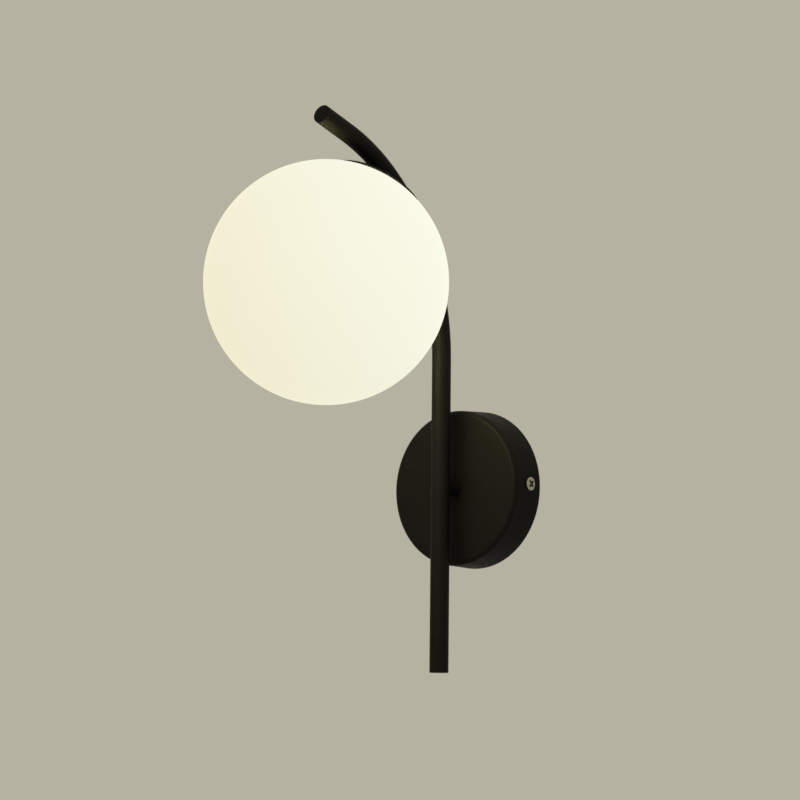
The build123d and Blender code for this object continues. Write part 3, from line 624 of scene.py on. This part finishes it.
# %% Domed screws
def crown_circle(head_radius, head_height):
    """Radius of a crown that rises three quarters of its head's height.

    It is (head radius squared + rise squared) over twice the rise."""
    rise = 0.75 * head_height
    return (head_radius**2 + rise**2) / (2 * rise)


def domed_screw(where, head_radius, head_height, shank_radius, shank_length, pitch, columns=96):
    """Grid of a screw whose head stands on its place and whose threaded shank goes below it."""
    root, rim = shank_radius - 0.55 * pitch, 0.25 * head_height
    crown_radius = crown_circle(head_radius, head_height)
    edge_angle = math.degrees(math.asin(head_radius / crown_radius))
    crown = on_circle(crown_radius, 0, edge_angle, 36) + (0, head_height - crown_radius)
    shank_end = [(root, -shank_length), (0, -shank_length)]
    shank = rounded(
        [(head_radius, rim * 0.8), (head_radius, 0), (root, 0), *shank_end],
        [0, rim * 0.3, 0.1, root * 0.5, 0],
        steps=4,
    )
    profile = np.vstack([crown, dense(shank, pitch / 6)])
    angle = np.linspace(0, 2 * np.pi, columns, endpoint=False)[None]
    radius, height = profile[:, :1] + 0 * angle, profile[:, 1:] + 0 * angle
    cut = thread(root, shank_radius, pitch, root, -shank_length + root * 0.5, -0.1, pitch)
    radius = cut(radius, height, angle)
    x, y = np.abs(radius * np.cos(angle)), np.abs(radius * np.sin(angle))
    span, width, slope = 0.63 * head_radius, 0.17 * head_radius, 0.05 * head_radius
    core = 0.34 * head_radius

    def bar(along, over):
        return np.clip((span - along) / slope + 0.5, 0, 1) * np.clip((width - over) / slope + 0.5, 0, 1)

    pit = np.clip((core - radius) / slope + 0.5, 0, 1)
    cross = np.maximum(np.maximum(bar(x, y), bar(y, x)), pit) * (profile[:, 1:] > 0)
    depth = head_radius * np.clip(0.36 - 0.2 * radius / span, 0.1, 1)
    return put(radius, height - cross * depth, angle, where)


# %% The screws in their places
# Each size gives the head's radius, its height and the shank's radius.
low_m4, m4 = (4.2, 1.2, m4_radius), (4.1, 2.6, m4_radius)
m3, small_m3 = (2.75, 1.8, 1.5), (2.2, 1.8, 1.5)
m4_pitch, m3_pitch, m3_columns = 0.7, 0.5, 60
seat = cover_back - (cover_back - cover_front) / cover_depth * (screw_depth - low_m4[0])
slanted, side_shank = math.sqrt(0.5), 8.0
side_places = [
    place(screw_place + s * to_right * seat, s * to_right, (0, slanted, s * slanted)) for s in (1, -1)
]
sides = [domed_screw(where, *low_m4, side_shank, m4_pitch) for where in side_places]
keep(skin("cover_screws", sides, False), "side_screws")
strap, earth_ring_thickness, earth_x, earth_z = 1.5, 0.8, -14.0, 4.0
earth_place = np.array([earth_x, -strap - earth_ring_thickness, earth_z])
bonding = domed_screw(place(earth_place, (0, -1, 0)), *m4, strap + earth_ring_thickness, m4_pitch)
keep(skin("bonding_screw", [bonding], False), "earth_screw")
pole_pitch, block_depth, block_top, block_height = 9.5, 11.0, -13.0, 14.0
block_front, block_centre = strap + block_depth, block_top - block_height / 2
strip_place = place((pole_pitch / 2, -block_front, block_centre), (0, -1, 0))
fixing = domed_screw(strip_place, *small_m3, block_front, m3_pitch, m3_columns)
keep(skin("strip_screw", [fixing], False), "terminal_fixing_screw")
bracket_drop = 8.8
holder_seat = second_nut_top - bracket_drop
holder_height, holder_screw_spacing = 18.0, 18.0
holder_face = holder_seat - holder_height
screw_level = holder_face + m3[1] + seat_gap
holder_screws = [
    domed_screw(
        place(globe_centre + head_up * screw_level + s * to_right * holder_screw_spacing / 2, -head_up),
        *m3,
        holder_height - m3[1] - seat_gap + bracket_thickness,
        m3_pitch,
        m3_columns,
    )
    for s in (-1, 1)
]
keep(skin("holder_screws", holder_screws, False), "lampholder_screws")

# %% [markdown]
# ## The lamp and the leads
# The lamp in the globe is a two-pin capsule. Its white cover is a turned thimble, closed by a
# half sphere. The leads are thin tubes along their real route: out of the terminal strip,
# through the wall stub, up the arm, round its bend and down the head stub to the lampholder.

# %% Capsule cover
lamp_radius, lamp_wall, lamp_length, lamp_base_height = 8.5, 1.0, 35.0, 8.5
capsule_top = holder_face - seat_gap - lamp_base_height
dome_level = capsule_top - lamp_length + lamp_radius
thimble = np.vstack(
    [
        on_circle(lamp_radius, 180, 90, 20) + (0, dome_level),
        rounded(
            [
                (lamp_radius, dome_level + 1),
                (lamp_radius, capsule_top),
                (lamp_radius - lamp_wall, capsule_top),
                (lamp_radius - lamp_wall, dome_level + 1),
            ],
            [0, 0.25, 0.25, 0],
        ),
        on_circle(lamp_radius - lamp_wall, 90, 180, 18) + (0, dome_level),
    ]
)
thimble[[0, -1], 0] = 0
keep(skin("capsule_cover", [spin(thimble, head, 96)], False), "bulb_cover")

# %% Leads
lead_radius, lead_x, lead_turn, spread_turn, earth_lead_turn = 0.95, 1.15, 4.5, 2.85, 3.15
lead_end_rise, lead_turn_rise, lead_run_in, lead_in_barrel = 2.0, 1.0, 5.0, 3.0
pin_spacing, pin_slot_reach = 9.0, 16.0
insert_depth = strap + block_depth / 2
turn_gap = math.degrees(math.asin(lead_turn / (bend_radius - lead_turn)))
leave = holder_angle - turn_gap


def head_point(x, height):
    """A point in the plane of the head, x across and a height along its axis."""
    return globe_centre + head_up * height + to_right * x


def arm_lead(s):
    """Route of the live (s = 1) or neutral (s = -1) lead, from terminal strip to lampholder."""
    x, pole, pin = s * lead_x, s * pole_pitch, s * pin_spacing / 2
    centre = bend_point(x, bend_radius - lead_turn, leave)
    start = bend_point(x, bend_radius, leave) - centre
    inset = (bend_radius - lead_turn) * math.cos(math.radians(turn_gap))
    end = bend_point(x, inset, holder_angle) - centre
    whole = math.acos(np.clip(start @ end / lead_turn**2, -1, 1))
    t = np.linspace(0, 1, 14)[:, None]
    turn = centre + (start * np.sin((1 - t) * whole) + end * np.sin(t * whole)) / math.sin(whole)
    strip_end = rounded(
        [
            (pole, -insert_depth, block_centre + lead_end_rise),
            (pole, -insert_depth, block_top + lead_turn_rise),
            (x, -wall_thread_end + lead_run_in, 0),
            (x, -arm_reach, 0),
            (x, -arm_reach, bend_start / 2),
        ],
        lead_turn,
        steps=14,
    )
    holder_end = rounded(
        [
            centre + end,
            head_point(x, head_thread_end),
            head_point(pin, holder_seat + bracket_thickness),
            head_point(pin, holder_face + pin_slot_reach),
        ],
        spread_turn,
        steps=8,
    )
    bend = bend_point(x, bend_radius, np.linspace(0, leave, 60))
    return dense(np.vstack([strip_end, bend, turn[1:], holder_end[1:]]), 3.0)


for s, name, node in ((1, "brown_wire", "live_lead"), (-1, "blue_wire", "neutral_lead")):
    keep(skin(name, [tube(arm_lead(s), lead_radius, 0, (1.0, 0.0, 0.0), 20)], False), node)
earth_ring_neck, earth_barrel_length, earth_barrel_radius = 0.5, 5.0, 1.6
barrel_end = earth_x + m4[0] + earth_ring_neck + earth_barrel_length
barrel_y = -strap - earth_barrel_radius
earth_route = rounded(
    [
        (barrel_end - lead_in_barrel, barrel_y, earth_z),
        (0, barrel_y, earth_z),
        (0, -insert_depth, block_top + lead_turn_rise),
        (0, -insert_depth, block_centre + lead_end_rise),
    ],
    earth_lead_turn,
    steps=14,
)
earth_columns = 24
earth_grid = tube(dense(earth_route, 1.0), lead_radius, 0, (0.0, 1.0, 0.3), earth_columns)
striped_wire = skin("striped_wire", [earth_grid], False)
keep(striped_wire, "earth_lead")

# %% [markdown]
# ## Finishes
# A finish is a Principled shader plus what makes the surface real: a slight change of colour,
# a roughness that isn't even, and a fine relief. All three come from noise on Object
# coordinates, in metres, so the grain has its real size on every piece and stays put when the
# piece moves.

# %% Building blocks for finishes
finishes = {}


def shader_input(material, name):
    """One input of the material's Principled shader."""
    return material.node_tree.nodes["Principled BSDF"].inputs[name]


def finish(slot, colour, roughness, metallic=0.0, specular=0.5):
    """A material for one slot, with its plain values on the shader's own sockets."""
    material = finishes[slot] = bpy.data.materials.new(slot + "_finish")
    material.use_nodes = True
    shader_input(material, "Base Color").default_value = (*colour, 1.0)
    shader_input(material, "Roughness").default_value = roughness
    shader_input(material, "Metallic").default_value = metallic
    shader_input(material, "Specular IOR Level").default_value = specular
    return material


def add(material, kind, x=0, y=0, **values):
    """Adds a node, set up by name: inputs by their label, other settings as attributes."""
    node = material.node_tree.nodes.new("ShaderNode" + kind)
    node.location = (x, y)
    for key, value in values.items():
        if hasattr(node, key):
            setattr(node, key, value)
        else:
            node.inputs[key.replace("_", " ")].default_value = value
    return node


def link(material, source, target):
    """Joins an output to an input, or to the Principled shader's input of that name."""
    target = shader_input(material, target) if isinstance(target, str) else target
    material.node_tree.links.new(source, target)


def ranged(material, source, y, **limits):
    """Maps a value between two limits to the range 0 to 1, or to the one that the limits name."""
    ranger = add(material, "MapRange", -500, y, **limits)
    link(material, source, ranger.inputs["Value"])
    return ranger.outputs["Result"]


def blend(material, share, one, other, name, y=200):
    """Mixes two colours into one of the shader's inputs: one at a share of 0, the other at 1."""
    mix = add(material, "Mix", -300, y, data_type="RGBA")
    mix.inputs[6].default_value, mix.inputs[7].default_value = (*one, 1), (*other, 1)
    link(material, share, mix.inputs[0])
    link(material, mix.outputs[2], name)


def carried(material, mesh, name, values, y):
    """Gives each point of a mesh a value as an attribute, and reads it in a material."""
    attribute = mesh.attributes.new(name, "FLOAT", "POINT")
    attribute.data.foreach_set("value", values.astype(np.float32))
    return add(material, "Attribute", -700, y, attribute_name=name).outputs["Fac"]


# %% Noise, and what it does to colour, roughness and relief
def noise(material, scale, stretch=(1, 1, 1), turn=(0, 0, 0), detail=3.0, y=0):
    """Noise on Object coordinates; stretch squeezes it along each turned axis.

    A mapping of the kind TEXTURE turns first and then divides by its scale."""
    coordinates = add(material, "TexCoord", -1100, y)
    mapping = add(material, "Mapping", -900, y, vector_type="TEXTURE", Rotation=turn)
    mapping.inputs["Scale"].default_value = [1 / factor for factor in stretch]
    texture = add(material, "TexNoise", -700, y, Scale=scale, Detail=detail, Roughness=0.55)
    link(material, coordinates.outputs["Object"], mapping.inputs["Vector"])
    link(material, mapping.outputs["Vector"], texture.inputs["Vector"])
    return texture.outputs["Fac"]


def spread(material, source, low, high, name):
    """Maps the middle range of a noise to a low and a high value of one of the shader's inputs."""
    value = ranged(material, source, -200, From_Min=0.35, From_Max=0.65, To_Min=low, To_Max=high)
    link(material, value, name)


def mottle(material, source, one, other):
    """Mixes two close colours by a noise."""
    share = ranged(material, source, 200, From_Min=0.3, From_Max=0.7)
    blend(material, share, one, other, "Base Color")


def relief(material, source, depth):
    """Adds a bump of a real depth in millimetres, on top of the one that is there."""
    normal = shader_input(material, "Normal")
    bump = add(material, "Bump", -200, -500, Distance=depth * MM, Strength=1.0)
    if normal.is_linked:
        link(material, normal.links[0].from_socket, bump.inputs["Normal"])
    link(material, source, bump.inputs["Height"])
    link(material, bump.outputs["Normal"], normal)


# %% [markdown]
# Powder coat is melted plastic dust: a fine orange peel, about a millimetre from crest to
# crest and two hundredths deep, over a finer tooth that keeps the sheen soft. It is black
# with a trace of brown. A single roughness would look like paint from a can.

# %% Black powder coat
black = (0.0037, 0.0035, 0.0030)
powder_coat = finish("powder_coat", black, 0.55, specular=0.09)
mottle(powder_coat, noise(powder_coat, 90.0, y=400), black, tuple(1.4 * c for c in black))
spread(powder_coat, noise(powder_coat, 260.0, y=100), 0.50, 0.60, "Roughness")
relief(powder_coat, noise(powder_coat, 900.0, y=-300, detail=2.0), 0.018)
relief(powder_coat, noise(powder_coat, 3800.0, y=-600, detail=1.0), 0.003)

# %% [markdown]
# The globe is lit from inside, so most of its brightness is its own. Towards the right, the
# wall and the top it is paler, and on the other side warmer. The direction of that change is
# fixed in the globe, so the colour of the light depends on the place on the glass, worked out
# as the dot product of the place from the centre with one direction.

# %% Lit opal glass
glow_low, glow_high = (0.807, 0.773, 0.577), (0.885, 0.894, 0.767)
opal = finish("opal_glass", (0.10, 0.098, 0.085), 0.5, specular=0.06)
pale_side = np.array([0.754, 0.584, 0.299])
from_centre = add(opal, "VectorMath", -900, 0, operation="SUBTRACT")
from_centre.inputs[1].default_value = globe_centre * MM
towards = add(opal, "VectorMath", -700, 0, operation="DOT_PRODUCT")
towards.inputs[1].default_value = pale_side
link(opal, add(opal, "TexCoord", -1100, 0).outputs["Object"], from_centre.inputs[0])
link(opal, from_centre.outputs["Vector"], towards.inputs[0])
reach = globe_radius * MM
pale_share = ranged(opal, towards.outputs["Value"], 0, From_Min=-reach, From_Max=reach)
blend(opal, pale_share, glow_low, glow_high, "Emission Color", 0)
shader_input(opal, "Emission Strength").default_value = 1.0
relief(opal, noise(opal, 700.0, y=-400), 0.01)

# %% [markdown]
# The metals behind the cover and under the cap each keep the marks of how they were made.
# Turned aluminium has fine rings about the head's axis, so its noise is squeezed along that
# axis. Zinc on steel is cloudy, and the nickel of the screws has a soft shine.

# %% Metals
zinc_steel = finish("zinc_steel", (0.60, 0.61, 0.63), 0.34, 1.0)
mottle(zinc_steel, noise(zinc_steel, 120.0, y=400), (0.52, 0.54, 0.58), (0.66, 0.66, 0.66))
spread(zinc_steel, noise(zinc_steel, 400.0, y=100), 0.26, 0.42, "Roughness")
relief(zinc_steel, noise(zinc_steel, 1200.0, y=-300), 0.008)

nickel_screw = finish("nickel_screw", (0.42, 0.40, 0.35), 0.26, 1.0)
spread(nickel_screw, noise(nickel_screw, 900.0, y=100), 0.20, 0.34, "Roughness")
relief(nickel_screw, noise(nickel_screw, 2500.0, y=-300), 0.004)

# %% [markdown]
# The bottom of each cross recess gets painted shade: there the nickel's colour goes to near black.
# Each point of the screws carries how far it lies under the crown as an attribute. The crown's
# height at a distance r from the axis is its top less (R - root of (R squared - r squared)).

# %% Painted shade in the recess of the side screws
screws = finished["side_screws"].data
spots = np.array([vertex.co for vertex in screws.vertices]) / MM
off_axis = np.hypot(spots[:, 1] + screw_depth, spots[:, 2] - screw_rise)
crown_radius = crown_circle(*low_m4[:2])
crown_level = low_m4[1] - crown_radius + np.sqrt(crown_radius**2 - off_axis**2)
under = crown_level - (np.abs(spots[:, 0]) - seat)
shank_below, cross_reach = 0.5, 0.72
under[(off_axis > cross_reach * low_m4[0]) | (np.abs(spots[:, 0]) < seat - shank_below)] = 0
# Painted shade: the deeper a point lies under the crown, the more its nickel colour turns to near black.
recess = carried(nickel_screw, screws, "under_crown", under, 500)
painted_shade_share = ranged(nickel_screw, recess, 500, From_Min=0.05, From_Max=0.5)
# The second colour is the painted shade at the bottom of the recess.
bright, painted_recess_shade = (0.46, 0.44, 0.385), (0.075, 0.070, 0.058)
blend(nickel_screw, painted_shade_share, bright, painted_recess_shade, "Base Color", 500)
print("points in a recess", int((under > 0.1).sum()), "deepest", round(float(under.max()), 2))

brass = finish("brass", (0.78, 0.60, 0.32), 0.28, 1.0)
mottle(brass, noise(brass, 500.0, y=400), (0.70, 0.52, 0.26), (0.82, 0.65, 0.38))
spread(brass, noise(brass, 700.0, y=100), 0.22, 0.36, "Roughness")

tinned_copper = finish("tinned_copper", (0.70, 0.68, 0.64), 0.36, 1.0)
mottle(tinned_copper, noise(tinned_copper, 600.0, y=400), (0.62, 0.60, 0.57), (0.74, 0.72, 0.68))
relief(tinned_copper, noise(tinned_copper, 1500.0, y=-300), 0.01)

head_tilt = (-math.atan2(head_up[1], head_up[2]), 0.0, 0.0)
aluminium = finish("aluminium", (0.76, 0.77, 0.78), 0.3, 1.0)
turning = noise(aluminium, 60.0, stretch=(1, 1, 60), turn=head_tilt, detail=4.0, y=100)
spread(aluminium, turning, 0.2, 0.4, "Roughness")
relief(aluminium, turning, 0.012)

# %% [markdown]
# The plastics and the ceramic are plain to the eye, but not flat: nylon is milky, unglazed
# ceramic has a dry tooth and small specks, silicone is dull, and the lamp's board is yellow
# from its phosphor.

# %% Plastics, ceramic and rubber
plain = {
    "nylon": ((0.82, 0.80, 0.74), (0.76, 0.74, 0.68), 0.42, 60.0, 500.0, 0.02),
    "steatite": ((0.82, 0.79, 0.72), (0.72, 0.69, 0.61), 0.72, 900.0, 1500.0, 0.03),
    "silicone": ((0.72, 0.72, 0.70), (0.66, 0.66, 0.64), 0.6, 200.0, 900.0, 0.015),
    "lamp_plastic": ((0.87, 0.86, 0.82), (0.85, 0.84, 0.795), 0.25, 80.0, 400.0, 0.002),
    "lamp_board": ((0.80, 0.72, 0.40), (0.74, 0.66, 0.34), 0.4, 300.0, 800.0, 0.01),
    "brown_lead": ((0.17, 0.075, 0.035), (0.13, 0.055, 0.025), 0.46, 300.0, 1400.0, 0.01),
    "blue_lead": ((0.035, 0.13, 0.43), (0.025, 0.10, 0.36), 0.46, 300.0, 1400.0, 0.01),
    "earth_lead": ((0.13, 0.40, 0.07), (0.10, 0.34, 0.05), 0.46, 300.0, 1400.0, 0.01),
}
for slot, (one, other, roughness, cloud, tooth, depth) in plain.items():
    material = finish(slot, one, roughness)
    mottle(material, noise(material, cloud, y=400), one, other)
    spread(material, noise(material, tooth / 2, y=100), roughness - 0.05, roughness + 0.07, "Roughness")
    relief(material, noise(material, tooth, y=-300), depth)

# %% [markdown]
# An earth lead is green with a yellow stripe along it. The stripe follows the lead and not the
# room. So each point of the mesh carries how far round it lies from the middle of the green
# side, as a share of a turn, and the shader paints yellow where that passes a third.

# %% Yellow stripe of the earth lead
rings = (len(striped_wire.data.vertices) - 2) // earth_columns
ring_number = np.concatenate([[0], np.tile(np.arange(earth_columns), rings), [0]])
striped, yellow = finishes["earth_lead"], (0.78, 0.60, 0.03, 1)
from_green = np.abs(ring_number / earth_columns - 0.5)
round_angle = carried(striped, striped_wire.data, "round_angle", from_green, 700)
stripe = add(striped, "Mix", -100, 500, data_type="RGBA")
stripe.inputs[7].default_value = yellow
striped_base = shader_input(striped, "Base Color")
link(striped, ranged(striped, round_angle, 700, From_Min=0.32, From_Max=0.34), stripe.inputs[0])
link(striped, striped_base.links[0].from_socket, stripe.inputs[6])
link(striped, stripe.outputs[2], striped_base)

# %% [markdown]
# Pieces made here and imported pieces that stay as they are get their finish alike, by the slot
# that the record gives them, so that none is forgotten.

# %% Every piece gets the finish of its slot
for part in record["subparts"]:
    node, material = part["node"], finishes[part["material_slot"]]
    piece = finished.get(node) or frame["nodes"][node]
    if not piece.material_slots:
        piece.data.materials.append(material)
    for place_for_material in piece.material_slots:
        place_for_material.material = material
print(len(finished), "pieces replaced,", len(record["subparts"]) - len(finished), "packed pieces dressed")

# %% [markdown]
# ## Studio
# The picture needs a plain pale floor and backdrop and a soft light. The world is one pale
# warm grey, which lights the object from everywhere and is the backdrop as well, so that
# metal reflects what the camera sees. A large soft lamp in front and a smaller one on the
# upper right give the light a direction. Far out the floor takes the backdrop's colour, so
# that no edge of it shows.

# %% World and floor
backdrop = (0.47, 0.445, 0.36)
world = bpy.data.worlds.new("pale_studio")
bpy.context.scene.world = world
world.use_nodes = True
world.node_tree.nodes["Background"].inputs["Color"].default_value = (*backdrop, 1)

floor_height, floor_size = -1.2, 12.0
floor_mesh = bpy.data.meshes.new("floor")
floor_corners = floor_size / 2 * np.array([(-1, -1), (1, -1), (1, 1), (-1, 1)])
floor_mesh.from_pydata(np.column_stack([floor_corners, np.full(4, floor_height)]), [], [(0, 1, 2, 3)])
floor = stand("floor", floor_mesh)
floor_grey = (0.74, 0.75, 0.76)
floor_finish = finish("floor", floor_grey, 0.9, specular=0.0)
far_out = add(floor_finish, "VectorMath", -700, 0, operation="LENGTH")
link(floor_finish, add(floor_finish, "TexCoord", -900, 0).outputs["Object"], far_out.inputs[0])
limits = {"From_Min": 1.0, "From_Max": 4.0, "interpolation_type": "SMOOTHSTEP"}
fade, unlit = ranged(floor_finish, far_out.outputs["Value"], 0, **limits), (0.0, 0.0, 0.0)
blend(floor_finish, fade, floor_grey, unlit, "Base Color")
blend(floor_finish, fade, unlit, backdrop, "Emission Color", -200)
shader_input(floor_finish, "Emission Strength").default_value = 1.0
floor_mesh.materials.append(floor_finish)

# %% Lights
def soft_light(name, direction, distance, size, power):
    """A square lamp at a distance in a direction from the object, facing it."""
    data = bpy.data.lights.new(name, "AREA")
    data.shape, data.size, data.energy = "SQUARE", size, power
    lamp = stand(name, data)
    middle = (np.array(cad_low) + np.array(cad_high)) / 2
    away = np.array(direction, float) / np.linalg.norm(direction)
    aim_at(lamp, middle + away * distance, away, (0, 0, 1))


def aim_at(thing, spot, back, up):
    """Stands a lamp or camera at a spot with its back to a direction: it looks along minus back."""
    right = np.cross(up, back)
    right = right / np.linalg.norm(right)
    rows = np.column_stack([right, np.cross(back, right), back, spot])
    thing.matrix_world = Matrix([*rows.tolist(), [0, 0, 0, 1]])


soft_light("window_front", (0.1, -1.0, 0.35), 1.8, 1.4, 5.5)
soft_light("fill_right", (1.0, -0.55, 0.75), 1.8, 1.0, 3.2)

# %% [markdown]
# A lit globe is brighter than a picture can show, so the glow of its material lights the arm
# and the cover too little. A lamp of nearly the globe's size in its centre adds warm light, and
# the glass casts no shadow, so that it gets out. Reflections don't look for the lamp, because
# their rays would meet the glass in front of it and lose its light.

# %% Light that comes through the glass
glow_data = bpy.data.lights.new("globe_glow", "POINT")
glow_data.energy, glow_data.color = 1.5, (0.97, 0.87, 0.32)
glow_data.shadow_soft_size = 70.0 * MM
glow_data.cycles.use_multiple_importance_sampling = False
stand("globe_glow", glow_data).location = globe_centre * MM
finished["globe_glass"].visible_shadow = False

# %% [markdown]
# ## Camera
# The picture was taken from the right and a little below, with a long lens. The camera's
# turn, tilt, roll and lens were fitted to the outlines of cover, tube and globe. Yaw swings
# the view from straight at the wall, pitch tips it up, and roll levels it.

# %% Camera at the photograph's viewing angle
yaw, pitch, roll = (math.radians(v) for v in (39.55009, -5.70306, 0.54652))
camera_spot = np.array([1.531603, -1.933299, -0.188873])
ahead = np.array([-math.sin(yaw), math.cos(yaw), 0.0])
right = np.array([math.cos(yaw), math.sin(yaw), 0.0])
upright = np.array([0.0, 0.0, 1.0])
view_up = upright * math.cos(pitch) + ahead * math.sin(pitch)
ahead = ahead * math.cos(pitch) - upright * math.sin(pitch)
camera_data = bpy.data.cameras.new("photo_camera")
camera_data.lens, camera_data.sensor_width = 174.718, 36.0
camera = stand("photo_camera", camera_data)
aim_at(camera, camera_spot, -ahead, view_up * math.cos(roll) - right * math.sin(roll))
bpy.context.scene.camera = camera
bpy.context.scene.view_settings.view_transform = "Standard"
